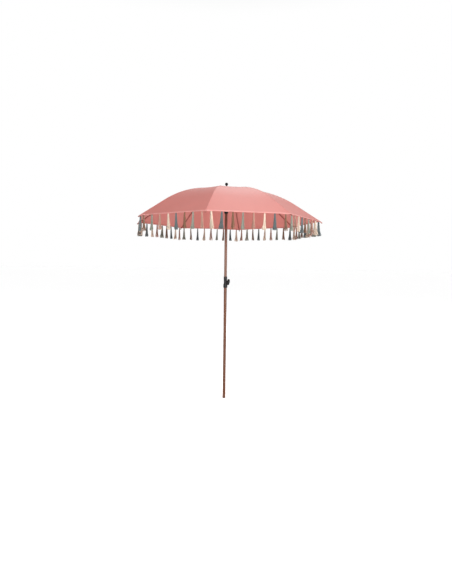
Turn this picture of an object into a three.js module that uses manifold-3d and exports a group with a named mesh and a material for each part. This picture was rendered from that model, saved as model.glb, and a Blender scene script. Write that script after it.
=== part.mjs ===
// Fringed garden parasol: two-tube pole, height clamp, hub and runner, eight ribs with stretchers,
// eight canopy panels and a tasselled fringe. Millimetres, +Z up, origin at the foot of the pole.
// Rib 1 points along -Y and the others follow every 45 degrees towards +X. The clamp knob points
// between ribs 2 and 3.
import * as THREE from 'three';
import { mergeVertices } from 'three/addons/utils/BufferGeometryUtils.js';
import Module from 'manifold-3d';

const wasm = await Module();
wasm.setup();

// Driving dimensions
const ribCount = 8;
const goreAngle = (2 * Math.PI) / ribCount;
const canopyRadius = 1095; // hem corner at each rib
const apexHeight = 2458.5; // top of the cloth on the pole's axis
const clothThickness = 1.2;

// The cloth over a rib runs nearly flat, bends on one radius, and ends straight.
const flatEnd = 240;
const straightStart = 800;
const flatSlope = THREE.MathUtils.degToRad(3);
const endSlope = THREE.MathUtils.degToRad(33.5);
const bendRadius = (straightStart - flatEnd) / (Math.sin(endSlope) - Math.sin(flatSlope));

// Pole
const lowerRadius = 17.5;
const lowerWall = 1;
const lowerTop = 1330;
const upperRadius = 16;
const upperWall = 1.2;
const upperBottom = 950;
const upperTop = 2438;
const plugHeight = 30;
const slidingGap = 0.4;
const tubeSides = 24;

// Ribs and stretchers
const pivotRadius = 30; // ring wires of the hub and of the runner
const ribHeight = 8;
const ribWidth = 6;
const ribWall = 0.8;
const ribClothGap = 2;
const ribEnd = 1104;
const bracketReach = 460; // where the stretcher's bracket sits on the rib
const bracketDrop = 12; // from the rib's middle line to the stretcher's rivet
const earThickness = 1.5;
const stretcherWidth = 3;
const stretcherHeight = 9;
const wireRadius = 1.5;
const rivetRadius = 1.6;
const turningGap = 0.4;
const wireGap = 0.7; // the ring wire bends away inside a rib's hole
const slotGap = 0.6;

// Hub, runner, clamp, knob, button and finial
const flangeRadius = 40;
const flangeHeight = 14;
const runnerBore = 16.7;
const runnerLength = 170; // from the stretchers' ring wire down to the lower end
const buttonDrop = 65; // from the ring wire down to the button
const clampBottom = 1295;
const clampHeight = 132;
const knobHeight = 1373; // where the knob's axis meets the pole's axis
const knobAzimuth = THREE.MathUtils.degToRad(62);
const knobTilt = THREE.MathUtils.degToRad(12);
const screwRadius = 4;
const ballRadius = 18;
const ballHeight = 2516;

// Fringe
const tasselLength = 170; // from the tape's top
const tapeHeight = 6;
const tapeThickness = 2;
const tapeInset = 5;
const tapeEndGap = 14;
const tasselsPerGore = [8, 9, 9, 9, 9, 9, 9, 8];

const parasol = new THREE.Group();

function finish(color, roughness, metalness) {
  return new THREE.MeshStandardMaterial({ color, roughness, metalness });
}

const lowerPaint = finish(0x8c5f4c, 0.4, 0.4);
const upperPaint = finish(0x9a7a68, 0.4, 0.4);
const ribPaint = finish(0x7a4a3e, 0.5, 0.3);
const blackPlastic = finish(0x2a2a2b, 0.5, 0);
const steel = finish(0x9a9a98, 0.35, 0.9);
const cloth = finish(0xdd9187, 0.9, 0);
const cotton = finish(0xa99a86, 0.95, 0);

function addPart(name, geometry, material, holder = parasol) {
  const mesh = new THREE.Mesh(geometry, material);
  mesh.name = name;
  holder.add(mesh);
  return mesh;
}

// A group whose +X axis points out along an azimuth, counted from -Y towards +X.
function radialGroup(azimuth) {
  const group = new THREE.Group();
  group.rotation.z = azimuth - Math.PI / 2;
  parasol.add(group);
  return group;
}

function toSolid(geometry) {
  const bare = geometry.index ? geometry.toNonIndexed() : geometry.clone();
  bare.deleteAttribute('normal');
  bare.deleteAttribute('uv');
  const merged = mergeVertices(bare, 1e-3);
  const mesh = new wasm.Mesh({
    numProp: 3,
    vertProperties: new Float32Array(merged.attributes.position.array),
    triVerts: new Uint32Array(merged.index.array),
  });
  return new wasm.Manifold(mesh);
}

function toGeometry(solid) {
  const mesh = solid.getMesh();
  const geometry = new THREE.BufferGeometry();
  geometry.setAttribute('position', new THREE.BufferAttribute(new Float32Array(mesh.vertProperties), 3));
  geometry.setIndex(new THREE.BufferAttribute(new Uint32Array(mesh.triVerts), 1));
  geometry.computeVertexNormals();
  return geometry;
}

function join(...geometries) {
  return toGeometry(geometries.map(toSolid).reduce((whole, piece) => whole.add(piece)));
}

function cut(geometry, ...tools) {
  return toGeometry(tools.map(toSolid).reduce((whole, tool) => whole.subtract(tool), toSolid(geometry)));
}

// A body of revolution about Z from [radius, height] points, listed with the material on their left.
function turned(points, sides = tubeSides) {
  const profile = points.map(([radius, height]) => new THREE.Vector2(radius, height));
  return new THREE.LatheGeometry(profile, sides).rotateX(Math.PI / 2);
}

function tube(outer, inner, bottom, top) {
  return turned([[inner, bottom], [outer, bottom], [outer, top], [inner, top], [inner, bottom]]);
}

// A round bar along Z between two heights.
function bar(radius, bottom, top, sides = tubeSides) {
  return turned([[0, bottom], [radius, bottom], [radius, top], [0, top]], sides);
}

function block(xLow, xHigh, yLow, yHigh, zLow, zHigh) {
  const box = new THREE.BoxGeometry(xHigh - xLow, yHigh - yLow, zHigh - zLow);
  return box.translate((xLow + xHigh) / 2, (yLow + yHigh) / 2, (zLow + zHigh) / 2);
}

// A plate in the XZ plane, centred on y = 0.
function plate(shape, thickness, curveSegments = 4) {
  const geometry = new THREE.ExtrudeGeometry(shape, { depth: thickness, bevelEnabled: false, curveSegments });
  return geometry.rotateX(Math.PI / 2).translate(0, thickness / 2, 0);
}

// A round pin across the rib, along Y.
function crossPin(x, z, radius, length) {
  return bar(radius, -length / 2, length / 2, 8).rotateX(Math.PI / 2).translate(x, 0, z);
}

function roundHole(x, z, radius) {
  return new THREE.Path().absarc(x, z, radius, 0, 2 * Math.PI, true);
}

// Height of the cloth's top above a rib, at a distance from the pole's axis.
function clothHeight(reach) {
  if (reach <= flatEnd) return apexHeight - reach * Math.tan(flatSlope);
  const bendTop = apexHeight - flatEnd * Math.tan(flatSlope);
  const bendAngle = clothSlope(reach);
  const bendDrop = bendRadius * (Math.cos(flatSlope) - Math.cos(bendAngle));
  const straight = Math.max(0, reach - straightStart);
  return bendTop - bendDrop - straight * Math.tan(endSlope);
}

function clothSlope(reach) {
  if (reach <= flatEnd) return flatSlope;
  const along = Math.min(reach, straightStart) - flatEnd;
  return Math.asin(Math.sin(flatSlope) + along / bendRadius);
}

// A point beside the rib's middle line, offset up square to it. The line runs parallel to the cloth.
function besideRib(reach, offset) {
  const slope = clothSlope(reach);
  const lift = offset - clothThickness - ribClothGap - ribHeight / 2;
  return new THREE.Vector2(reach + lift * Math.sin(slope), clothHeight(reach) + lift * Math.cos(slope));
}

const hubPivot = new THREE.Vector2(pivotRadius, besideRib(pivotRadius, 0).y);
const ribPivot = besideRib(bracketReach, -bracketDrop);
// The stretcher is as long as the rib's own arm, so the runner's wire lies as far below the rivet
// as the hub's wire lies above it, and travels straight down the pole.
const armLength = hubPivot.distanceTo(ribPivot);
const runnerPivot = new THREE.Vector2(pivotRadius, 2 * ribPivot.y - hubPivot.y);

// Reaches that divide a rib or a panel into short straight runs, finer over the bend.
function reaches(start, end) {
  const bendSteps = 6;
  const bend = [];
  for (let i = 0; i <= bendSteps; i += 1) {
    bend.push(flatEnd + ((straightStart - flatEnd) * i) / bendSteps);
  }
  return [start, ...bend, end];
}

// Outline of a band that follows the rib between two offsets from its middle line.
function ribBand(lowOffset, highOffset, start, end) {
  const stations = reaches(start, end);
  const top = stations.map((reach) => besideRib(reach, highOffset));
  const bottom = stations.map((reach) => besideRib(reach, lowOffset)).reverse();
  return new THREE.Shape([...bottom, ...top]);
}

// Rib: a channel open below, holed for the ring wire and for its bracket's rivet.
function ribGeometry() {
  const half = ribHeight / 2;
  const outer = plate(ribBand(-half, half, pivotRadius - half, ribEnd), ribWidth);
  const hollow = plate(ribBand(-half - 1, half - ribWall, pivotRadius - half - 2, ribEnd + 2), ribWidth - 2 * ribWall);
  const wireHole = crossPin(hubPivot.x, hubPivot.y, wireRadius + wireGap, ribWidth + 2);
  const seat = besideRib(bracketReach, 0);
  const rivetHole = crossPin(seat.x, seat.y, rivetRadius + turningGap, ribWidth + 2);
  return cut(outer, hollow, wireHole, rivetHole);
}

// Bracket: two ears outside the rib, joined by the rib's rivet and by the stretcher's rivet.
function bracketGeometry() {
  const seat = besideRib(bracketReach, 0);
  const slope = clothSlope(bracketReach);
  const earRadius = 4.2;
  const inner = ribWidth / 2 + 0.3;
  const outline = new THREE.Shape();
  outline.absarc(0, 0, earRadius, 0, Math.PI, false);
  outline.absarc(0, -bracketDrop, earRadius, Math.PI, 2 * Math.PI, false);
  const place = (geometry) => geometry.rotateY(slope).translate(seat.x, 0, seat.y);
  const near = place(plate(outline, earThickness).translate(0, inner + earThickness / 2, 0));
  const far = place(plate(outline, earThickness).translate(0, -inner - earThickness / 2, 0));
  const span = 2 * (inner + earThickness) + 1.6;
  const ribRivet = crossPin(seat.x, seat.y, rivetRadius, span);
  const stretcherRivet = crossPin(ribPivot.x, ribPivot.y, rivetRadius, span);
  return join(near, far, ribRivet, stretcherRivet);
}

// Stretcher: a flat bar with an eye at each end.
function stretcherGeometry() {
  const half = stretcherHeight / 2;
  const hole = wireRadius + turningGap;
  const outline = new THREE.Shape();
  outline.absarc(0, 0, half, Math.PI / 2, (3 * Math.PI) / 2, false);
  outline.absarc(armLength, 0, half, -Math.PI / 2, Math.PI / 2, false);
  outline.holes.push(roundHole(0, 0, hole), roundHole(armLength, 0, rivetRadius + turningGap));
  const rise = Math.asin((ribPivot.y - runnerPivot.y) / armLength);
  return plate(outline, stretcherWidth).rotateY(-rise).translate(runnerPivot.x, 0, runnerPivot.y);
}

// Rib tip: a round cap that slides over the rib's end.
function ribTipGeometry() {
  const bore = 5.4;
  const outer = 6.8;
  const mouth = -7;
  const shoulder = 3;
  const nose = [[4.5, 7], [0, 9.5]];
  const cap = turned([[0, 1], [bore, 1], [bore, mouth], [outer, mouth], [outer, shoulder], ...nose], 10);
  const end = besideRib(ribEnd, 0);
  return cap.rotateY(Math.PI / 2 + endSlope).translate(end.x, 0, end.y);
}

function ringWire(height) {
  return new THREE.TorusGeometry(pivotRadius, wireRadius, 6, 48).translate(0, 0, height);
}

// Radial slots and the ring wire's groove, cut into a flange from above.
function flangeCuts(pivotHeight, slotWidth, slotStart, top) {
  const slots = [];
  for (let i = 0; i < ribCount; i += 1) {
    const slot = block(slotStart, flangeRadius + 5, -slotWidth / 2, slotWidth / 2, pivotHeight - 25, top + 5);
    slots.push(slot.rotateZ(i * goreAngle));
  }
  const low = pivotHeight - wireRadius - slotGap;
  const inner = pivotRadius - wireRadius - slotGap;
  const outer = pivotRadius + wireRadius + slotGap;
  return [...slots, tube(outer, inner, low, top + 5)];
}

// Hub: a slotted flange over a socket that holds the upper tube, with a hole for the finial's stud.
function hubGeometry() {
  const top = hubPivot.y + ribHeight / 2;
  const flangeBottom = top - flangeHeight;
  const skirtBottom = upperTop - 35;
  const bore = upperRadius + slidingGap;
  const studHole = screwRadius + slidingGap;
  const roof = upperTop + slidingGap;
  const body = turned([
    [studHole, roof], [bore, roof], [bore, skirtBottom], [21, skirtBottom], [21, flangeBottom - 6],
    [25, flangeBottom], [flangeRadius, flangeBottom], [flangeRadius, top], [studHole, top], [studHole, roof],
  ]);
  return cut(body, ...flangeCuts(hubPivot.y, ribWidth + 2 * slotGap, 21.6, top));
}

// Finial: a ball on a neck, with a washer over the cloth and a stud into the hub.
function finialGeometry() {
  const washer = apexHeight + 0.8;
  const neck = 10;
  const ball = [];
  const neckAngle = Math.asin(neck / ballRadius);
  const arcSteps = 9;
  for (let i = 0; i < arcSteps; i += 1) {
    const angle = neckAngle + ((Math.PI - neckAngle) * i) / arcSteps;
    ball.push([ballRadius * Math.sin(angle), ballHeight - ballRadius * Math.cos(angle)]);
  }
  const studBottom = upperTop + 2;
  return turned([
    [0, studBottom], [screwRadius, studBottom], [screwRadius, washer], [24, washer], [24, washer + 2.5],
    [14, washer + 6], [neck, washer + 11], ...ball, [0, ballHeight + ballRadius],
  ], 20);
}

// Runner: a slotted flange on a long sleeve, with a radial hole for its release button.
function runnerGeometry() {
  const pivot = runnerPivot.y;
  const top = pivot + flangeHeight / 2;
  const low = pivot - runnerLength;
  const body = turned([
    [runnerBore, low], [19.5, low], [24.5, low + 16], [24.5, low + 62], [22, low + 70], [22, low + 132],
    [27, pivot - 14], [flangeRadius, pivot - flangeHeight / 2], [flangeRadius, top], [runnerBore, top],
    [runnerBore, low],
  ]);
  const hole = bar(6.4, 10, 30, 16).rotateX(Math.PI / 2).translate(0, 0, pivot - buttonDrop);
  return cut(body, hole, ...flangeCuts(pivot, stretcherWidth + 2 * slotGap, 24.5, top));
}

// Release button: a short plunger in the runner's wall, facing -Y.
function buttonGeometry() {
  const plunger = turned([[0, 19.4], [6, 19.4], [6, 25], [5, 26], [0, 26]], 16);
  return plunger.rotateX(Math.PI / 2).translate(0, 0, runnerPivot.y - buttonDrop);
}

function alongKnobAxis(geometry) {
  return geometry.rotateY(Math.PI / 2 + knobTilt).rotateZ(knobAzimuth - Math.PI / 2).translate(0, 0, knobHeight);
}

// Clamp: grips the lower tube in its wide foot and the upper tube in its split neck.
function clampGeometry() {
  const top = clampBottom + clampHeight;
  const upperBore = upperRadius + slidingGap + 0.2;
  const lowerBore = lowerRadius + slidingGap;
  const ledge = lowerTop + slidingGap;
  const body = turned([
    [lowerBore, clampBottom], [21.5, clampBottom], [24.5, clampBottom + 7], [24.5, clampBottom + 34],
    [20.5, clampBottom + 48], [19, clampBottom + 58], [19, top - 38], [20.5, top - 34], [20.5, top - 3],
    [19, top], [upperBore, top], [upperBore, ledge], [lowerBore, ledge], [lowerBore, clampBottom],
  ]);
  const boss = alongKnobAxis(bar(11, 12, 30, 20));
  const bore = bar(upperBore, ledge + 1, top + 1);
  const screwHole = alongKnobAxis(bar(screwRadius + slidingGap, 5, 40, 16));
  const split = block(-1.25, 1.25, -25, -10, top - 32, top + 5).rotateZ(THREE.MathUtils.degToRad(10));
  return cut(join(body, boss), bore, screwHole, split);
}

// Knob: an oval grip with a moulded-in screw that passes through the clamp's boss.
function knobGeometry() {
  const grip = new THREE.Shape().absellipse(0, 0, 36, 17, 0, 2 * Math.PI, false, 0);
  const bevel = { bevelEnabled: true, bevelThickness: 7, bevelSize: 8, bevelOffset: -8, bevelSegments: 3 };
  const wings = new THREE.ExtrudeGeometry(grip, { depth: 12, curveSegments: 14, ...bevel }).translate(0, 0, 37.8);
  const screw = bar(screwRadius, 17.6, 38, 16);
  return alongKnobAxis(join(wings, screw));
}

// Foot plug: closes the lower tube and gives it a flat end.
function plugGeometry() {
  const shank = lowerRadius - lowerWall - slidingGap;
  return turned([[0, 0], [lowerRadius, 0], [lowerRadius, 3], [shank, 3], [shank, plugHeight], [0, plugHeight]]);
}

// Bush: a plastic end for the upper tube, which slides in the lower tube.
function bushGeometry() {
  const shank = upperRadius - upperWall - slidingGap;
  const collar = upperBottom - slidingGap;
  const points = [[0, collar - 5], [upperRadius, collar - 5], [upperRadius, collar], [shank, collar]];
  return turned([...points, [shank, collar + 25], [0, collar + 25]]);
}

// One canopy panel between two ribs: straight across at each reach, as a closed sheet.
function panelGeometry() {
  const seamGap = 0.5;
  const stations = reaches(10, canopyRadius);
  const positions = [];
  const corner = (reach, side, lift) => {
    const slope = clothSlope(reach);
    const out = reach * Math.cos(goreAngle / 2) + lift * Math.sin(slope);
    const across = side * (reach * Math.sin(goreAngle / 2) - seamGap);
    return [out, across, clothHeight(reach) + lift * Math.cos(slope)];
  };
  for (const reach of stations) {
    positions.push(corner(reach, -1, 0), corner(reach, 1, 0));
    positions.push(corner(reach, 1, -clothThickness), corner(reach, -1, -clothThickness));
  }
  const faces = [[0, 1, 2], [0, 2, 3]];
  for (let k = 0; k < stations.length - 1; k += 1) {
    for (let side = 0; side < 4; side += 1) {
      const a = 4 * k + side;
      const b = 4 * k + ((side + 1) % 4);
      faces.push([a, a + 4, b + 4], [a, b + 4, b]);
    }
  }
  const last = 4 * (stations.length - 1);
  faces.push([last, last + 2, last + 1], [last, last + 3, last + 2]);
  const geometry = new THREE.BufferGeometry();
  geometry.setAttribute('position', new THREE.Float32BufferAttribute(positions.flat(), 3));
  geometry.setIndex(faces.flat());
  return geometry;
}

// One tassel hanging from the origin: a knotted head, a bound neck and a flared skirt.
function tasselGeometry() {
  return turned([[0, -tasselLength], [14, -tasselLength], [17, 15 - tasselLength], [6, -5], [0, -5]], 6);
}

// The fringe under one panel's hem: a tape with its tassels, evenly spaced along the hem's chord.
function fringeGeometry(tasselCount) {
  const hemOut = canopyRadius * Math.cos(goreAngle / 2);
  const hemHeight = clothHeight(canopyRadius) - clothThickness / Math.cos(endSlope);
  const chord = 2 * canopyRadius * Math.sin(goreAngle / 2);
  const out = hemOut - tapeInset;
  const halfTape = chord / 2 - tapeEndGap;
  const tapeTop = hemHeight + 2;
  let whole = toSolid(block(out - tapeThickness, out, -halfTape, halfTape, tapeTop - tapeHeight, tapeTop));
  for (let k = 0; k < tasselCount; k += 1) {
    const across = ((k + 0.5) / tasselCount - 0.5) * chord;
    const tassel = tasselGeometry().translate(out - tapeThickness / 2, across, tapeTop);
    whole = whole.add(toSolid(tassel));
  }
  return toGeometry(whole);
}

addPart('lower_pole', tube(lowerRadius, lowerRadius - lowerWall, 3 + slidingGap, lowerTop), lowerPaint);
addPart('pole_foot_plug', plugGeometry(), blackPlastic);
addPart('clamp_collar', clampGeometry(), blackPlastic);
addPart('clamp_knob', knobGeometry(), blackPlastic);
addPart('pole_bush', bushGeometry(), blackPlastic);
addPart('upper_pole', tube(upperRadius, upperRadius - upperWall, upperBottom, upperTop), upperPaint);
addPart('top_hub', hubGeometry(), blackPlastic);
addPart('hub_ring_wire', ringWire(hubPivot.y), steel);
addPart('finial', finialGeometry(), blackPlastic);
addPart('runner', runnerGeometry(), blackPlastic);
addPart('runner_ring_wire', ringWire(runnerPivot.y), steel);
addPart('runner_button', buttonGeometry(), steel);

for (let i = 0; i < ribCount; i += 1) {
  const arm = radialGroup(i * goreAngle);
  addPart(`rib_${i + 1}`, ribGeometry(), ribPaint, arm);
  addPart(`rib_tip_${i + 1}`, ribTipGeometry(), blackPlastic, arm);
  addPart(`rib_bracket_${i + 1}`, bracketGeometry(), steel, arm);
  addPart(`stretcher_${i + 1}`, stretcherGeometry(), ribPaint, arm);
  const gore = radialGroup((i + 0.5) * goreAngle);
  addPart(`canopy_panel_${i + 1}`, panelGeometry(), cloth, gore);
  addPart(`fringe_${i + 1}`, fringeGeometry(tasselsPerGore[i]), cotton, gore);
}

export default parasol;
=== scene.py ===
"""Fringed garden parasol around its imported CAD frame.

Metres, +Z up, origin at the foot of the pole. Rib 1 points along -Y, and the others follow every 45 degrees
towards +X. Gore i lies between rib i and rib i + 1.
"""
import math
import random

import bpy
import numpy as np
from mathutils import Matrix, Vector, noise


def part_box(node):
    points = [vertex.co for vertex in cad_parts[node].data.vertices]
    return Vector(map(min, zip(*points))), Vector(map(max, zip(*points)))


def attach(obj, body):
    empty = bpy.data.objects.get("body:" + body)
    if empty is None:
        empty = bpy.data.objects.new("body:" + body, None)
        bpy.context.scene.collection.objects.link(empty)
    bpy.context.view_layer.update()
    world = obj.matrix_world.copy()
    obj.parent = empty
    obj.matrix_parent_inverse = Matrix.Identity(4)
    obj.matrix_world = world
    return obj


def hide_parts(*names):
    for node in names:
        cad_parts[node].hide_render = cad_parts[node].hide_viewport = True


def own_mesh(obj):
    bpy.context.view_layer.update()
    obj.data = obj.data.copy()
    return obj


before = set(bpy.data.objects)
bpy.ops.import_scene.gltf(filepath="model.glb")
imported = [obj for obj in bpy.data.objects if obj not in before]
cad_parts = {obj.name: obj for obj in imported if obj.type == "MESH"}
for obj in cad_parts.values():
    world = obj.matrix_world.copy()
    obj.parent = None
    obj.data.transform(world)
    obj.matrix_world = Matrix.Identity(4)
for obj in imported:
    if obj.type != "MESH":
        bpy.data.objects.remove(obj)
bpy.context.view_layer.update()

# The cloth's rib line, as the CAD source has it
RIBS = 8
ALPHA = math.pi / RIBS
CANOPY_RADIUS = 1.095
APEX = 2.4585
FLAT_END = 0.240
STRAIGHT_START = 0.800
FLAT_SLOPE = math.radians(3)
END_SLOPE = math.radians(33.5)
BEND_RADIUS = (STRAIGHT_START - FLAT_END) / (math.sin(END_SLOPE) - math.sin(FLAT_SLOPE))
CLOTH = 0.0009
HUB_RADIUS = 0.030
HUB_HEIGHT = 2.449738
FOLD = math.radians(64.5)

# How the cloth is split so that it can fold: a strip on each rib, wings beside it and a leaf at mid-gore
STRIP_HALF = 0.012
WING_KEEP = 0.02      # share of its width that a wing keeps when folded
INNER_REACH = 0.047   # the cloth's inner edge, measured out along a rib
PLAIN_ROWS = 52
LEAF_COLUMNS = 9
WING_COLUMNS = 15
SEAM_LIFT = 0.0007    # the lapped seam stands this much above the cloth
# (share of the strip's half width from the rib, lift)
SEAM = [(0.0, SEAM_LIFT), (0.42, SEAM_LIFT), (0.50, 0.0), (1.0, 0.0)]
# (distance back from the hem's edge, lift)
HEM_ROWS = [(0.0, 0.0003), (0.0012, 0.0006), (0.010, 0.0007), (0.0190, 0.0006), (0.0206, 0.0)]
HEM_BAND = 0.010
CROWN_RADIUS = 0.0495
CROWN_THICKNESS = 0.0006

# How the cloth hangs between two ribs
HEM_BOW = 0.0128      # share by which the middle of the hem is pulled in
SAG = 0.013
CREASE = 0.0022       # broad and soft, all over
RIPPLE = 0.0016       # narrow, near the hem

# Fringe
TASSELS = [8, 9, 9, 9, 9, 9, 9, 8]  # on each gore
YARNS = ["slate", "brown", "sage", "tan", "cream"]
STRANDS = {"slate": 40, "brown": 18, "sage": 38, "tan": 18, "cream": 38}
FIRST_YARN = 4
TAPE_HEIGHT = 0.006
TAPE_THICKNESS = 0.002
TAPE_INSET = 0.009    # from the hem's edge in to the tape's outer face
TAPE_TUCK = 0.0038    # part of the inset that does not raise the tape
TAPE_END_GAP = 0.014
TASSEL_LENGTH = 0.170
GOLDEN_TURN = 2.39996  # radians between one strand and the next

# Poles and finial
LOWER_WALL = 0.001
UPPER_WALL = 0.0012
BALL_RADIUS = 0.018
BALL_HEIGHT = 2.516
BALL_NECK = 0.010
STUD_RADIUS = 0.004
STUD_FOOT = 2.440
WASHER_RADIUS = 0.024

# Camera, as fitted to the photo, and studio light
CAMERA_AZIMUTH = math.radians(10)
CAMERA_DISTANCE = 5.0
CAMERA_HEIGHT = 1.568
CAMERA_ROLL = math.radians(0.7)
FLOOR_HALF = 150
FLOOR_DROP = 0.0005
WALL = 1.0
CEILING = 0.15
LIGHT_DISTANCE = 8.0
LIGHT_TARGET = 1.7
LIGHTS = [  # name, azimuth and elevation in degrees, size, power
    ("key", 24, 9, 2.4, 700),
    ("side", 102, 8, 2.0, 6),
    ("gloss", 174, 58, 3.2, 440),
]


def radial(azimuth):
    return Vector((math.sin(azimuth), -math.cos(azimuth), 0))


def tangent(azimuth):
    return Vector((math.cos(azimuth), math.sin(azimuth), 0))


def rib_azimuth(i):
    return (i - 1) * 2 * ALPHA


def gore_azimuth(i):
    return (i - 0.5) * 2 * ALPHA


def cloth_slope(reach):
    if reach <= FLAT_END:
        return FLAT_SLOPE
    return math.asin(math.sin(FLAT_SLOPE) + (min(reach, STRAIGHT_START) - FLAT_END) / BEND_RADIUS)


def cloth_height(reach):
    if reach <= FLAT_END:
        return APEX - reach * math.tan(FLAT_SLOPE)
    drop = BEND_RADIUS * (math.cos(FLAT_SLOPE) - math.cos(cloth_slope(reach)))
    straight = max(0.0, reach - STRAIGHT_START) * math.tan(END_SLOPE)
    return APEX - FLAT_END * math.tan(FLAT_SLOPE) - drop - straight


# ---------------------------------------------------------------- materials

def srgb(r, g, b):
    def linear(c):
        c /= 255
        return c / 12.92 if c <= 0.04045 else ((c + 0.055) / 1.055) ** 2.4
    return (linear(r), linear(g), linear(b), 1)


def toned(color, factor, lift=0.0):
    """A colour made darker or lighter by a factor, and lifted."""
    return tuple(min(1, c * factor + lift) for c in color[:3]) + (1,)


class Nodes:
    """A short way to write a node tree."""

    def __init__(self, name):
        self.material = bpy.data.materials.new(name)
        self.material.use_nodes = True
        self.tree = self.material.node_tree
        self.shader = self.tree.nodes["Principled BSDF"]
        self.output = self.tree.nodes["Material Output"]

    def add(self, kind, **inputs):
        node = self.tree.nodes.new(kind)
        for key, value in inputs.items():
            self.put(node, key, value)
        return node

    def put(self, node, key, value):
        if hasattr(node, key) and key not in node.inputs:
            setattr(node, key, value)
        else:
            self.fill(node.inputs[key], value)

    def fill(self, socket, value):
        if isinstance(value, bpy.types.NodeSocket):
            self.tree.links.new(value, socket)
        else:
            socket.default_value = value

    def math(self, operation, a, b=0.0):
        node = self.tree.nodes.new("ShaderNodeMath")
        node.operation = operation
        self.fill(node.inputs[0], a)
        self.fill(node.inputs[1], b)
        return node.outputs[0]

    def mix(self, factor, a, b):
        node = self.tree.nodes.new("ShaderNodeMix")
        node.data_type = "RGBA"
        self.fill(node.inputs[0], factor)
        self.fill(node.inputs[6], a)
        self.fill(node.inputs[7], b)
        return node.outputs[2]

    def noise(self, coordinates, scale, detail):
        node = self.add("ShaderNodeTexNoise", Scale=scale, Detail=detail)
        self.tree.links.new(coordinates, node.inputs["Vector"])
        return node.outputs["Fac"]

    def bump(self, height, distance, strength):
        return self.add("ShaderNodeBump", Height=height, Distance=distance, Strength=strength).outputs[0]

    def object_coordinates(self):
        return self.add("ShaderNodeTexCoord").outputs["Object"]

    def stretched(self, coordinates, x, y, z):
        node = self.tree.nodes.new("ShaderNodeVectorMath")
        node.operation = "MULTIPLY"
        self.tree.links.new(coordinates, node.inputs[0])
        node.inputs[1].default_value = (x, y, z)
        return node.outputs[0]

    def range(self, value, low, high, to_low, to_high):
        node = self.add("ShaderNodeMapRange")
        self.tree.links.new(value, node.inputs["Value"])
        for key, number in zip(("From Min", "From Max", "To Min", "To Max"), (low, high, to_low, to_high)):
            node.inputs[key].default_value = number
        return node.outputs[0]


def stitch_line(n, distance, along, line):
    """1 on the stitches that run along a line at one distance, 0 elsewhere."""
    pitch, share, thread_half = 0.0042, 0.66, 0.00045
    on_line = n.math("LESS_THAN", n.math("ABSOLUTE", n.math("SUBTRACT", distance, line)), thread_half)
    on_dash = n.math("LESS_THAN", n.math("FRACT", n.math("DIVIDE", along, pitch)), share)
    return n.math("MULTIPLY", on_line, on_dash)


def woven(name, color):
    """Plain-woven cloth that lets some light through, stitched along its seams and its hem."""
    thread_pitch, seam_line, hem_line = 0.0011, 0.0044, 0.0172
    n = Nodes(name)
    place = n.object_coordinates()
    cloth_map = n.add("ShaderNodeUVMap", uv_map="cloth")
    split = n.add("ShaderNodeSeparateXYZ", Vector=cloth_map.outputs["UV"])
    across, up = split.outputs["X"], split.outputs["Y"]
    warp = n.math("SINE", n.math("MULTIPLY", across, 2 * math.pi / thread_pitch))
    weft = n.math("SINE", n.math("MULTIPLY", up, 2 * math.pi / thread_pitch))
    weave = n.math("MULTIPLY", warp, weft)
    slub = n.noise(n.stretched(place, 60, 60, 60), 1.0, 3.0)
    cloud = n.noise(place, 3.1, 3.0)
    tone = n.mix(n.range(cloud, 0.35, 0.65, 0, 1), toned(color, 0.955), color)
    tone = n.mix(n.range(slub, 0.3, 0.7, 0, 0.16), tone, toned(color, 0.80))
    along_seam = stitch_line(n, n.math("ABSOLUTE", across), up, seam_line)
    along_hem = stitch_line(n, up, across, hem_line)
    stitch = n.math("MAXIMUM", along_seam, along_hem)
    tone = n.mix(n.math("MULTIPLY", stitch, 0.6), tone, toned(color, 1.25))
    height = n.math("ADD", n.math("MULTIPLY", weave, 0.25), n.math("MULTIPLY", slub, 0.5))
    height = n.math("ADD", height, n.math("MULTIPLY", stitch, 1.5))
    normal = n.bump(height, 0.0003, 0.5)
    n.put(n.shader, "Base Color", tone)
    n.put(n.shader, "Roughness", 0.62)
    n.put(n.shader, "Specular IOR Level", 0.42)
    n.put(n.shader, "Sheen Weight", 0.06)
    n.put(n.shader, "Sheen Roughness", 0.5)
    n.put(n.shader, "Normal", normal)
    through = n.add("ShaderNodeBsdfTranslucent", Color=tone, Normal=normal)
    both = n.add("ShaderNodeMixShader")
    n.put(both, "Fac", 0.20)
    n.tree.links.new(n.shader.outputs[0], both.inputs[1])
    n.tree.links.new(through.outputs[0], both.inputs[2])
    n.tree.links.new(both.outputs[0], n.output.inputs["Surface"])
    return n.material


def yarn(name, color):
    """Soft twisted cotton, uneven from strand to strand."""
    n = Nodes(name)
    place = n.object_coordinates()
    tone = n.add("ShaderNodeAttribute", attribute_name="tone").outputs["Fac"]
    fleck = n.noise(place, 380, 2.0)
    dark = toned(color, 0.62)
    base = n.mix(tone, dark, toned(color, 1.22, 0.02))
    base = n.mix(n.range(fleck, 0.35, 0.65, 0, 0.35), base, dark)
    twist = n.noise(n.stretched(place, 500, 500, 240), 1.0, 2.0)
    n.put(n.shader, "Base Color", base)
    n.put(n.shader, "Roughness", 0.95)
    n.put(n.shader, "Specular IOR Level", 0.15)
    n.put(n.shader, "Sheen Weight", 0.3)
    n.put(n.shader, "Sheen Roughness", 0.6)
    n.put(n.shader, "Normal", n.bump(twist, 0.0006, 0.7))
    return n.material


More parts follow.
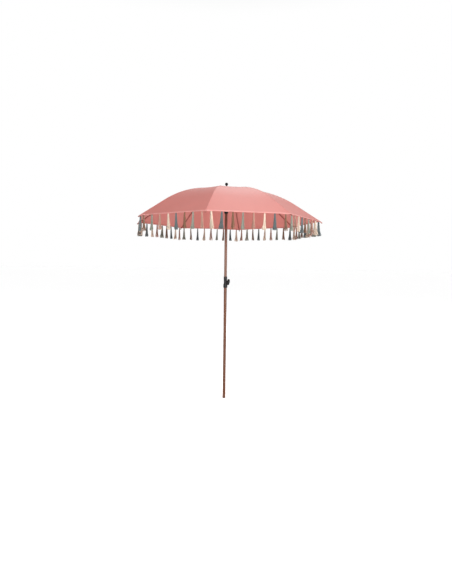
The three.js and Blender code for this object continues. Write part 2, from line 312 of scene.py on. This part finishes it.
def painted_tube(name, color, metallic, roughness):
    """Satin lacquer drawn along a tube, with faint streaks, pin scratches and dulled patches."""
    n = Nodes(name)
    place = n.object_coordinates()
    streak = n.noise(n.stretched(place, 900, 900, 6), 1.0, 3.0)
    patch = n.noise(n.stretched(place, 30, 30, 5), 1.0, 3.0)
    grain = n.noise(place, 900, 2.0)
    tone = n.mix(n.range(streak, 0.3, 0.7, 0, 0.7), color, toned(color, 0.78))
    tone = n.mix(n.range(patch, 0.35, 0.7, 0, 0.3), tone, toned(color, 1.2))
    n.put(n.shader, "Base Color", tone)
    n.put(n.shader, "Metallic", metallic)
    n.put(n.shader, "Specular IOR Level", 0.25)
    n.put(n.shader, "Roughness", n.range(patch, 0.3, 0.7, roughness - 0.06, roughness + 0.08))
    height = n.math("ADD", streak, n.math("MULTIPLY", grain, 0.6))
    n.put(n.shader, "Normal", n.bump(height, 0.00012, 0.5))
    return n.material


def moulded(name, color, roughness):
    """Moulded plastic with a fine spark-eroded grain and rubbed patches."""
    n = Nodes(name)
    place = n.object_coordinates()
    grain = n.noise(place, 1400, 3.0)
    rub = n.noise(place, 45, 3.0)
    tone = n.mix(n.range(rub, 0.4, 0.7, 0, 1), color, toned(color, 1.9, 0.004))
    n.put(n.shader, "Base Color", tone)
    n.put(n.shader, "Roughness", n.range(rub, 0.3, 0.7, roughness - 0.08, roughness + 0.1))
    n.put(n.shader, "Specular IOR Level", 0.18)
    n.put(n.shader, "Normal", n.bump(grain, 0.0001, 0.5))
    return n.material


def zinc(name):
    """Zinc-plated steel with a light spangle."""
    n = Nodes(name)
    place = n.object_coordinates()
    spangle = n.noise(place, 260, 3.0)
    tone = n.mix(n.range(spangle, 0.35, 0.65, 0, 1), srgb(168, 168, 164), srgb(196, 195, 190))
    n.put(n.shader, "Base Color", tone)
    n.put(n.shader, "Metallic", 1.0)
    n.put(n.shader, "Roughness", n.range(spangle, 0.3, 0.7, 0.28, 0.44))
    n.put(n.shader, "Normal", n.bump(spangle, 0.0001, 0.3))
    return n.material


def floor_paint():
    """Matt white that glows a little, so that the floor runs into the walls."""
    n = Nodes("floor_paint")
    n.put(n.shader, "Base Color", (0.88, 0.88, 0.88, 1))
    n.put(n.shader, "Roughness", 0.9)
    n.put(n.shader, "Specular IOR Level", 0.1)
    n.put(n.shader, "Emission Color", (1, 1, 1, 1))
    n.put(n.shader, "Emission Strength", 0.55)
    return n.material


CANOPY_CLOTH = woven("canopy_cloth", srgb(190, 110, 101))
HEM_CLOTH = woven("hem_cloth", srgb(210, 142, 136))
TAPE_COTTON = woven("tape_cotton", srgb(206, 148, 142))
YARN = {
    "slate": yarn("yarn_slate", srgb(70, 80, 81)),
    "brown": yarn("yarn_brown", srgb(104, 68, 40)),
    "sage": yarn("yarn_sage", srgb(116, 118, 106)),
    "tan": yarn("yarn_tan", srgb(150, 112, 96)),
    "cream": yarn("yarn_cream", srgb(184, 166, 148)),
}
UPPER_PAINT = painted_tube("upper_pole_paint", srgb(104, 74, 62), 0.1, 0.42)
LOWER_PAINT = painted_tube("lower_pole_paint", srgb(88, 54, 38), 0.1, 0.44)
RIB_PAINT = painted_tube("rib_paint", srgb(140, 80, 68), 0.1, 0.45)
TIP_PLASTIC = moulded("rib_tip_plastic", srgb(112, 66, 58), 0.5)
BLACK = moulded("black_plastic", srgb(14, 14, 15), 0.42)
RUNNER_BLACK = moulded("runner_plastic", srgb(13, 13, 14), 0.5)
ZINC = zinc("zinc_plate")


# ---------------------------------------------------------------- meshes

def make_object(name, verts, faces, materials, smooth_angle=30.0, uv=None, face_material=None, tone=None):
    mesh = bpy.data.meshes.new(name)
    mesh.from_pydata([tuple(v) for v in verts], [], faces)
    mesh.update()
    for material in materials:
        mesh.materials.append(material)
    if face_material is not None:
        mesh.polygons.foreach_set("material_index", face_material)
    if uv is not None:
        layer = mesh.uv_layers.new(name="cloth")
        index = np.zeros(len(mesh.loops), np.int32)
        mesh.loops.foreach_get("vertex_index", index)
        layer.data.foreach_set("uv", np.asarray(uv, np.float32)[index].ravel())
    if tone is not None:
        attribute = mesh.attributes.new("tone", "FLOAT", "POINT")
        attribute.data.foreach_set("value", np.asarray(tone, np.float32))
    mesh.shade_smooth()
    mesh.set_sharp_from_angle(angle=math.radians(smooth_angle))
    obj = bpy.data.objects.new(name, mesh)
    bpy.context.scene.collection.objects.link(obj)
    return obj


def slab(top, bottom, uv):
    """A closed thin sheet from two grids of points, with faces turned outwards."""
    rows, cols = top.shape[:2]
    count = rows * cols
    verts = np.concatenate([top.reshape(-1, 3), bottom.reshape(-1, 3)])
    faces = []

    def at(r, c):
        return r * cols + c

    for r in range(rows - 1):
        for c in range(cols - 1):
            a, b, d, e = at(r, c), at(r, c + 1), at(r + 1, c + 1), at(r + 1, c)
            faces.append((a, e, d, b))
            faces.append((a + count, b + count, d + count, e + count))
    ring = [at(0, c) for c in range(cols)]
    ring += [at(r, cols - 1) for r in range(1, rows)]
    ring += [at(rows - 1, c) for c in range(cols - 2, -1, -1)]
    ring += [at(r, 0) for r in range(rows - 2, 0, -1)]
    for a, b in zip(ring, ring[1:] + ring[:1]):
        faces.append((a, b, b + count, a + count))
    return verts, faces, np.concatenate([uv.reshape(-1, 2)] * 2)


def lathe(profile, segments):
    """A closed body of revolution about Z from (radius, height) points, with the material on their left."""
    verts, faces, rows = [], [], []
    for radius, height in profile:
        if radius < 1e-9:
            rows.append([len(verts)])
            verts.append((0, 0, height))
            continue
        row = []
        for k in range(segments):
            angle = 2 * math.pi * k / segments
            row.append(len(verts))
            verts.append((radius * math.cos(angle), radius * math.sin(angle), height))
        rows.append(row)
    closed = len(rows[0]) > 1
    following = rows[1:] + rows[:1] if closed else rows[1:]
    for low, high in zip(rows, following):
        for k in range(segments):
            nxt = (k + 1) % segments
            if len(low) == 1:
                faces.append((low[0], high[nxt], high[k]))
            elif len(high) == 1:
                faces.append((low[k], low[nxt], high[0]))
            else:
                faces.append((low[k], low[nxt], high[nxt], high[k]))
    return verts, faces


# ---------------------------------------------------------------- canopy

def leaf_half(reach):
    """Half width of the leaf at mid-gore: a little more than the folded wings leave open between them."""
    spare, least, most = 0.004, 0.006, 0.45 * reach * math.sin(ALPHA)
    rad = reach * math.cos(ALPHA) ** 2
    drop = cloth_height(reach) - HUB_HEIGHT
    half = 0.0
    for _ in range(6):
        out = rad + half * math.sin(ALPHA) - HUB_RADIUS
        folded = HUB_RADIUS + out * math.cos(FOLD) + drop * math.sin(FOLD)
        beside = STRIP_HALF + WING_KEEP * (reach * math.cos(ALPHA) * math.sin(ALPHA) - half * math.cos(ALPHA))
        half = max(0.0, folded * math.sin(ALPHA) - beside * math.cos(ALPHA))
    return min(max(half + spare, least), most)


def strip_half(reach):
    """Distance across the gore from the rib to the strip's border, which narrows near the crown."""
    taper = 0.14
    return min(STRIP_HALF, taper * reach) / math.cos(ALPHA)


def gore_surface(gore, reach, across):
    """A point on the cloth's top in gore coordinates, and its normal: (out, across, height)."""
    half = reach * math.sin(ALPHA)
    u = max(-1.0, min(1.0, across / half))
    bulge = 1 - u * u
    share = reach / CANOPY_RADIUS
    pulled = reach * (1 - HEM_BOW * bulge * share**3)
    slope = cloth_slope(pulled)
    normal = Vector((math.tan(slope) / math.cos(ALPHA), 0, 1)).normalized()
    sag = SAG * share * (1 - 0.65 * share**4) * bulge
    seed = Vector((pulled * 5.0, across * 5.0, gore * 3.7))
    relief = CREASE * noise.noise(seed) * bulge * share
    seed = Vector((pulled * 3.0, across * 19.0, gore * 5.1))
    relief += RIPPLE * noise.noise(seed) * bulge * share**6
    point = Vector((pulled * math.cos(ALPHA), across, cloth_height(pulled) - sag)) + normal * relief
    return point, normal


def stations():
    """(reach, hem lift) of each row of the cloth, from the hub out to the hem."""
    hem_start = 0.0225
    plain_rows = np.linspace(INNER_REACH, CANOPY_RADIUS - hem_start, PLAIN_ROWS)
    rows = [(float(s), 0.0) for s in plain_rows]
    rows += [(CANOPY_RADIUS - back, lift) for back, lift in reversed(HEM_ROWS)]
    return rows


ROWS = stations()


def to_frame(point, azimuth):
    return radial(azimuth) * point[0] + tangent(azimuth) * point[1] + Vector((0, 0, point[2]))


def along_slope(reach):
    """Distance down the cloth from a reach to the hem."""
    steps = np.linspace(reach, CANOPY_RADIUS, 24)
    return float(sum((b - a) / math.cos(cloth_slope((a + b) / 2)) for a, b in zip(steps, steps[1:])))


ROW_UP = [along_slope(reach) for reach, _ in ROWS]


def gore_grid(gore, columns_of):
    """Top and bottom grids over one gore. columns_of(reach) gives each column's place across and its lift."""
    azimuth = gore_azimuth(gore)
    top, bottom, uv = [], [], []
    for (reach, hem), up in zip(ROWS, ROW_UP):
        half = reach * math.sin(ALPHA)
        line_top, line_bottom, line_uv = [], [], []
        for across, lift in columns_of(reach):
            point, normal = gore_surface(gore, reach, across)
            raised = max(hem, lift)
            line_top.append(to_frame(point + normal * raised, azimuth))
            line_bottom.append(to_frame(point - normal * (CLOTH + hem), azimuth))
            from_rib = half - abs(across)
            line_uv.append((math.copysign(from_rib, -across), up))
        top.append(line_top)
        bottom.append(line_bottom)
        uv.append(line_uv)
    return np.array(top, float), np.array(bottom, float), np.array(uv, float)


def hem_faces(cols):
    """A material number for each face of a slab: 1 on the outer band of the hem, 0 elsewhere."""
    steps = cols - 1
    sides = [int(reach > CANOPY_RADIUS - HEM_BAND - 1e-6) for reach, _ in ROWS[:-1]]
    sheet = [kind for kind in sides for _ in range(2 * steps)]
    return sheet + [0] * steps + sides + [1] * steps + sides[::-1]


def leaf_columns(reach):
    half, count = leaf_half(reach), LEAF_COLUMNS // 2
    return [(half * k / count, 0.0) for k in range(-count, count + 1)]


def wing_columns(side):
    """The cloth between the leaf and the strip, on one side of mid-gore."""
    def columns(reach):
        low, high = leaf_half(reach), reach * math.sin(ALPHA) - strip_half(reach)
        shares = np.linspace(0, 1, WING_COLUMNS)
        line = [(side * (low + (high - low) * float(share)), 0.0) for share in shares]
        return line if side > 0 else line[::-1]
    return columns


def strip_columns(side):
    """The cloth from the strip's border to the rib, on the side of mid-gore that the rib is on."""
    def columns(reach):
        half, width = reach * math.sin(ALPHA), strip_half(reach)
        line = [(side * (half - width * share), lift) for share, lift in reversed(SEAM)]
        return line if side > 0 else line[::-1]
    return columns


def finish_sheet(obj, body, node, flat, area):
    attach(obj, body)
    if node:
        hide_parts(*node)


def flat_area(width_of):
    """Area of a gore piece laid flat, from its width at each reach."""
    total = 0.0
    for (a, _), (b, _) in zip(ROWS, ROWS[1:]):
        middle = (a + b) / 2
        slope = cloth_slope(middle)
        run = math.hypot((b - a) * math.cos(ALPHA), (b - a) * math.tan(slope))
        total += run * width_of(middle)
    return total


def slope_length():
    return flat_area(lambda reach: 1.0)


RIB_LENGTH = ROW_UP[0]


def build_leaf(gore):
    top, bottom, uv = gore_grid(gore, leaf_columns)
    verts, faces, maps = slab(top, bottom, uv)
    leaf = make_object(f"canopy_leaf_{gore}", verts, faces, [CANOPY_CLOTH, HEM_CLOTH], 40, maps,
                       hem_faces(top.shape[1]))
    widest = 2 * max(leaf_half(reach) for reach, _ in ROWS)
    area = flat_area(lambda reach: 2 * leaf_half(reach))
    finish_sheet(leaf, f"panel_{gore}", [f"canopy_panel_{gore}"], (widest, slope_length()), area)


def wing_width(reach):
    return reach * math.sin(ALPHA) - strip_half(reach) - leaf_half(reach)


def build_wing(gore, side):
    rib = gore if side < 0 else gore % RIBS + 1
    top, bottom, uv = gore_grid(gore, wing_columns(side))
    verts, faces, maps = slab(top, bottom, uv)
    name = f"canopy_wing_{gore}_{'a' if side < 0 else 'b'}"
    wing = make_object(name, verts, faces, [CANOPY_CLOTH, HEM_CLOTH], 40, maps, hem_faces(top.shape[1]))
    finish_sheet(wing, f"rib_{rib}", None, (wing_width(CANOPY_RADIUS), slope_length()), flat_area(wing_width))
    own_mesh(wing)


def build_strip(rib):
    """The seam over a rib: the ends of the two gores beside it, joined on the rib's own line."""
    before = (rib - 2) % RIBS + 1
    left = gore_grid(before, strip_columns(1))
    right = gore_grid(rib, strip_columns(-1))
    azimuth = rib_azimuth(rib)
    grids = []
    for k in range(2):
        grids.append(np.concatenate([left[k][:, :-1], right[k]], axis=1))
    middle = left[0].shape[1] - 1
    for r, (reach, hem) in enumerate(ROWS):
        slope = cloth_slope(reach)
        normal = radial(azimuth) * math.sin(slope) + Vector((0, 0, math.cos(slope)))
        point = radial(azimuth) * reach + Vector((0, 0, cloth_height(reach)))
        grids[0][r, middle] = point + normal * max(hem, SEAM_LIFT)
        grids[1][r, middle] = point - normal * (CLOTH + hem)
    uv = np.concatenate([left[2][:, :-1], right[2]], axis=1)
    verts, faces, maps = slab(grids[0], grids[1], uv)
    strip = make_object(f"canopy_seam_{rib}", verts, faces, [CANOPY_CLOTH, HEM_CLOTH], 8, maps,
                        hem_faces(grids[0].shape[1]))
    area = flat_area(lambda reach: 2 * strip_half(reach))
    finish_sheet(strip, f"rib_{rib}", None, (2 * STRIP_HALF / math.cos(ALPHA), RIB_LENGTH), area)


def build_crown():
    """A round patch over the middle, under the finial's washer."""
    rows = [(0.0046, 0.00010), (0.012, 0.00010), (0.022, 0.00010), (0.032, 0.00040),
            (0.042, 0.00085), (0.0485, 0.00105), (CROWN_RADIUS, 0.00100)]
    under = [(radius, cloth_height(radius) + lift) for radius, lift in rows]
    over = [(radius, height + CROWN_THICKNESS) for radius, height in under[:-1]]
    rolled_edge = (CROWN_RADIUS, cloth_height(CROWN_RADIUS) + 0.0013)
    verts, faces = lathe(under + [rolled_edge] + over[::-1], 96)
    uv = [(0.5 + v[0], 0.5 + v[1]) for v in verts]
    crown = make_object("canopy_crown", verts, faces, [CANOPY_CLOTH], 40, uv)
    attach(crown, "upper_pole")


# ---------------------------------------------------------------- fringe

def envelope(depth, flare):
    """Radius of a tassel's outline at a depth under the top of its tape."""
    waist = 0.0142
    knots = [(0.003, 0.0046), (0.009, 0.0068), (0.020, 0.0072), (0.027, 0.0058), (0.040, 0.0080),
             (0.080, 0.0108), (0.120, waist), (0.148, waist + 0.8 * (flare - waist)),
             (0.160, flare), (0.180, 0.85 * flare)]
    return float(np.interp(depth, [d for d, _ in knots], [r for _, r in knots]))


def ring(centre, radius, sides):
    """Points of a level circle around (x, y, z)."""
    x, y, z = centre
    turns = [2 * math.pi * m / sides for m in range(sides)]
    return [(x + radius * math.cos(a), y + radius * math.sin(a), z) for a in turns]


def tassel_strands(rng, strands, flare, width):
    """The strands of a tassel, hanging from the origin. Returns verts, faces and tones."""
    rings, sides, head = 11, 5, 0.004
    twist, wave_rate, tip = 3.0, 42, 0.55
    length = TASSEL_LENGTH + rng.uniform(-0.008, 0.002)
    lean_x, lean_y = rng.uniform(-0.05, 0.05), rng.uniform(-0.03, 0.03)
    verts, faces, tones = [], [], []
    for j in range(strands):
        share = math.sqrt((j + 0.5) / strands)
        turn = j * GOLDEN_TURN + rng.uniform(-0.2, 0.2)
        end = length - abs(rng.gauss(0, 0.006))
        thick = rng.uniform(0.0016, 0.0023)
        wave, phase = rng.uniform(0.0006, 0.0022), rng.uniform(0, 6.28)
        spread = share * rng.uniform(0.85, 1.12)
        tones += [rng.random()] * (rings * sides)
        start = len(verts)
        for k in range(rings):
            depth = head + (end - head) * k / (rings - 1)
            radius = envelope(depth, flare) * spread * width
            angle = turn + twist * depth
            sway = wave * (depth / length) * math.sin(phase + wave_rate * depth)
            x = radius * math.cos(angle) + sway + lean_x * depth * depth / length
            y = radius * math.sin(angle) + 0.7 * sway + lean_y * depth * depth / length
            girth = thick * (tip if k == rings - 1 else 1.0)
            verts += ring((x, y, -depth), girth, sides)
        for k in range(rings - 1):
            for m in range(sides):
                low, nxt = start + k * sides + m, start + k * sides + (m + 1) % sides
                faces.append((low, low + sides, nxt + sides, nxt))
        faces.append(tuple(start + m for m in range(sides)))
        faces.append(tuple(start + (rings - 1) * sides + m for m in range(sides - 1, -1, -1)))
    return verts, faces, tones


def tassel_tie(width):
    """Three turns of thread wound round a tassel's neck. Returns verts and faces."""
    depths, around, sides, neck, thread = (0.0245, 0.0268, 0.0291), 14, 5, 0.0064, 0.0013
    verts, faces = [], []
    for depth in depths:
        start = len(verts)
        for k in range(around):
            angle = 2 * math.pi * k / around
            for m in range(sides):
                a = 2 * math.pi * m / sides
                radius = neck * width + thread * math.cos(a)
                height = -depth + thread * math.sin(a)
                verts.append((radius * math.cos(angle), radius * math.sin(angle), height))
        for k in range(around):
            here, there = start + k * sides, start + (k + 1) % around * sides
            for m in range(sides):
                nxt = (m + 1) % sides
                faces.append((here + m, there + m, there + nxt, here + nxt))
    return verts, faces


def tassel(rng, strands):
    """Strands with a wound tie, hanging from the origin. Returns verts, faces and tones."""
    tie_tone = 0.75
    flare = rng.uniform(0.0190, 0.0265)
    width = rng.uniform(0.82, 1.22)
    verts, faces, tones = tassel_strands(rng, strands, flare, width)
    tie_verts, tie_faces = tassel_tie(width)
    faces += [tuple(len(verts) + v for v in f) for f in tie_faces]
    return verts + tie_verts, faces, tones + [tie_tone] * len(tie_verts)


def hem_place(gore, across, depth=0.0):
    """A place behind the hem, at a depth under the tape's top: (out, across, height)."""
    point, _ = gore_surface(gore, CANOPY_RADIUS, across)
    top = point.z + (TAPE_INSET - TAPE_TUCK) * math.tan(END_SLOPE)
    return Vector((point.x - TAPE_INSET, across, top - depth))


def tape_mesh(gore, half):
    """A braided tape sewn under the hem: two plaits of slanting cords along a flat band."""
    cord_pitch, cord_lift, slant_share, rows = 0.007, 0.0005, 0.22, 7
    steps = int(4 * half / cord_pitch)
    front, back = [], []
    for r in range(rows):
        depth = TAPE_HEIGHT * r / (rows - 1)
        swell = math.sin(math.pi * r / (rows - 1))
        front_line, back_line = [], []
        for k in range(steps + 1):
            across = -half + 2 * half * k / steps
            slant = 2 * math.pi * (across / cord_pitch + abs(r - rows // 2) * slant_share)
            relief = Vector((cord_lift * swell * math.sin(slant), 0, 0))
            place = hem_place(gore, across, depth)
            front_line.append(place + relief)
            back_line.append(place - relief - Vector((TAPE_THICKNESS, 0, 0)))
        front.append(front_line)
        back.append(back_line)
    return np.array(front, float), np.array(back, float)


def build_fringe(gore, first):
    """One gore's tape and tassels. The first tassel has the yarn at place `first` in YARNS."""
    rng = random.Random(1000 + gore)
    azimuth = gore_azimuth(gore)
    count = TASSELS[gore - 1]
    chord = 2 * CANOPY_RADIUS * math.sin(ALPHA)
    away_from_stitches = (0.3, 0.3)
    front, back = tape_mesh(gore, chord / 2 - TAPE_END_GAP)
    flat_uv = np.stack([0.03 + front[..., 1], 0.1 + front[..., 2] - front[0, 0, 2]], axis=-1)
    tape_verts, tape_faces, tape_uv = slab(back, front, flat_uv)
    verts = [tuple(v) for v in tape_verts]
    uvs = [tuple(x) for x in tape_uv]
    tones = [0.5] * len(verts)
    faces = [tuple(f) for f in tape_faces]
    kinds = [0] * len(tape_faces)
    for k in range(count):
        across = ((k + 0.5) / count - 0.5) * chord + rng.uniform(-0.004, 0.004)
        color = (first + k) % len(YARNS)
        part, part_faces, part_tones = tassel(rng, STRANDS[YARNS[color]])
        spin = rng.uniform(0, 6.28)
        c, s = math.cos(spin), math.sin(spin)
        base = len(verts)
        hang = hem_place(gore, across, TAPE_HEIGHT * 0.4)
        for x, y, z in part:
            out = hang.x - TAPE_THICKNESS / 2 + c * x - s * y
            verts.append((out, hang.y + s * x + c * y, hang.z + z))
            uvs.append(away_from_stitches)
        tones += part_tones
        faces += [tuple(base + v for v in f) for f in part_faces]
        kinds += [1 + color] * len(part_faces)
    placed = [to_frame(v, azimuth) for v in verts]
    materials = [TAPE_COTTON] + [YARN[name] for name in YARNS]
    fringe = make_object(f"tassel_fringe_{gore}", placed, faces, materials, 60, uvs, kinds, tones)
    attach(fringe, f"fringe_{gore}")
    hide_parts(f"fringe_{gore}")
    anchor = to_frame(hem_place(gore, 0.0), azimuth)
    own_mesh(fringe)
    return fringe


# ---------------------------------------------------------------- poles, finial and fittings

def rounded(points, radius):
    """Rounds the corners of a profile with three points each, so that edges catch the light.

    Points on the axis stay sharp, and so do both ends of a profile that starts on the axis.
    """
    made = []
    count = len(points)
    for k, here in enumerate(points):
        before, after = Vector(points[k - 1]), Vector(points[(k + 1) % count])
        here = Vector(here)
        if here.x < 1e-9 or k in (0, count - 1) and points[0][0] < 1e-9:
            made.append(tuple(here))
            continue
        reach_in = min(radius, (before - here).length / 3)
        reach_out = min(radius, (after - here).length / 3)
        back = (before - here).normalized() * reach_in
        onward = (after - here).normalized() * reach_out
        made.append(tuple(here + back))
        made.append(tuple(here + back * 0.3 + onward * 0.3))
        made.append(tuple(here + onward))
    return made


def turned_piece(name, profile, body, node, material, segments=72, angle=28):
    verts, faces = lathe(profile, segments)
    piece = make_object(name, verts, faces, [material], angle)
    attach(piece, body)
    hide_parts(node)
    return piece


def build_tube(name, node, wall, material):
    low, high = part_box(node)
    outer, inner = high.x, high.x - wall
    section = [(inner, low.z), (outer, low.z), (outer, high.z), (inner, high.z)]
    turned_piece(name, rounded(section, 0.0004), node, node, material)


def build_finial():
    """A ball on a flared neck, with a washer on the cloth and a stud into the hub."""
    washer = APEX + 0.0008
    foot = [(0, STUD_FOOT), (STUD_RADIUS, STUD_FOOT), (STUD_RADIUS, washer),
            (WASHER_RADIUS, washer), (WASHER_RADIUS, washer + 0.0025)]
    flare = [(0.0190, 0.0040), (0.0140, 0.0060), (0.0115, 0.0082), (0.0104, 0.0105),
             (BALL_NECK, 0.0140), (BALL_NECK, 0.0220)]
    start = math.asin(BALL_NECK / BALL_RADIUS)
    ball = [(BALL_NECK, BALL_HEIGHT - BALL_RADIUS * math.cos(start))]
    for k in range(1, 24):
        angle = start + (math.pi - start) * k / 24
        ball.append((BALL_RADIUS * math.sin(angle), BALL_HEIGHT - BALL_RADIUS * math.cos(angle)))
    ball.append((0, BALL_HEIGHT + BALL_RADIUS))
    profile = rounded(foot, 0.0005) + [(radius, washer + up) for radius, up in flare] + ball
    turned_piece("finial_ball", profile, "upper_pole", "finial", BLACK, 64)


def dress(node, material):
    """A CAD part that stays: joined corners, a small bevel on its edges, and its material."""
    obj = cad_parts[node]
    mesh = obj.data
    if "custom_normal" in mesh.attributes:
        mesh.attributes.remove(mesh.attributes["custom_normal"])
    mesh.materials.clear()
    mesh.materials.append(material)
    mesh.shade_smooth()
    weld = obj.modifiers.new("weld", "WELD")
    weld.merge_threshold = 0.00002
    bevel = obj.modifiers.new("bevel", "BEVEL")
    bevel.limit_method = "ANGLE"
    bevel.angle_limit = math.radians(28)
    bevel.width = 0.0004
    bevel.segments = 2
    bevel.harden_normals = True


def build_fittings():
    for node in ("pole_foot_plug", "clamp_collar", "clamp_knob", "pole_bush", "top_hub"):
        dress(node, BLACK)
    dress("runner", RUNNER_BLACK)
    for node in ("hub_ring_wire", "runner_ring_wire", "runner_button"):
        dress(node, ZINC)
    for k in range(1, RIBS + 1):
        dress(f"rib_{k}", RIB_PAINT)
        dress(f"stretcher_{k}", RIB_PAINT)
        dress(f"rib_tip_{k}", TIP_PLASTIC)
        dress(f"rib_bracket_{k}", ZINC)


# ---------------------------------------------------------------- stage

def build_camera():
    data = bpy.data.cameras.new("camera")
    data.sensor_width = 36
    data.lens = 26.15
    data.shift_x = 0.0007
    data.shift_y = -0.0469
    data.clip_end = 200
    camera = bpy.data.objects.new("camera", data)
    bpy.context.scene.collection.objects.link(camera)
    place = Vector((0, 0, CAMERA_HEIGHT)) + radial(CAMERA_AZIMUTH) * CAMERA_DISTANCE
    facing = (-radial(CAMERA_AZIMUTH)).to_track_quat("-Z", "Y").to_matrix().to_4x4()
    roll = Matrix.Rotation(CAMERA_ROLL, 4, "Z")
    camera.matrix_world = Matrix.Translation(place) @ facing @ roll
    bpy.context.scene.camera = camera


def area_light(name, azimuth, elevation, size, power):
    """A round light aimed at the parasol, from an azimuth and an elevation in degrees."""
    data = bpy.data.lights.new(name, "AREA")
    data.shape = "DISK"
    data.size = size
    data.energy = power
    light = bpy.data.objects.new(name, data)
    bpy.context.scene.collection.objects.link(light)
    target = Vector((0, 0, LIGHT_TARGET))
    out = radial(math.radians(azimuth)) * LIGHT_DISTANCE * math.cos(math.radians(elevation))
    light.location = target + out + Vector((0, 0, LIGHT_DISTANCE * math.sin(math.radians(elevation))))
    light.rotation_mode = "QUATERNION"
    light.rotation_quaternion = (target - light.location).to_track_quat("-Z", "Y")


def build_world():
    """A pale studio: white walls all round and a dim ceiling."""
    world = bpy.data.worlds.new("studio")
    world.use_nodes = True
    tree = world.node_tree
    direction = tree.nodes.new("ShaderNodeTexCoord").outputs["Generated"]
    split = tree.nodes.new("ShaderNodeSeparateXYZ")
    tree.links.new(direction, split.inputs[0])
    fade = tree.nodes.new("ShaderNodeMapRange")
    fade.interpolation_type = "SMOOTHSTEP"
    tree.links.new(split.outputs["Z"], fade.inputs["Value"])
    for key, number in zip(("From Min", "From Max", "To Min", "To Max"), (0.50, 0.75, WALL, CEILING)):
        fade.inputs[key].default_value = number
    background = tree.nodes["Background"]
    background.inputs["Color"].default_value = (1, 1, 1, 1)
    tree.links.new(fade.outputs[0], background.inputs["Strength"])
    bpy.context.scene.world = world


def build_stage():
    build_world()
    corners = [(-1, -1), (1, -1), (1, 1), (-1, 1)]
    verts = [(x * FLOOR_HALF, y * FLOOR_HALF, -FLOOR_DROP) for x, y in corners]
    floor = make_object("studio_floor", verts, [(0, 1, 2, 3)], [floor_paint()])
    for light in LIGHTS:
        area_light(*light)
    bpy.context.scene.view_settings.view_transform = "Standard"


build_camera()
build_stage()
build_tube("lower_tube", "lower_pole", LOWER_WALL, LOWER_PAINT)
build_tube("upper_tube", "upper_pole", UPPER_WALL, UPPER_PAINT)
build_finial()
build_fittings()
build_crown()
first_yarn = FIRST_YARN
for gore in range(1, RIBS + 1):
    fringe_piece = build_fringe(gore, first_yarn)
    first_yarn = (first_yarn + TASSELS[gore - 1]) % len(YARNS)
    build_leaf(gore)
    build_wing(gore, -1)
    build_wing(gore, 1)
for rib in range(1, RIBS + 1):
    build_strip(rib)
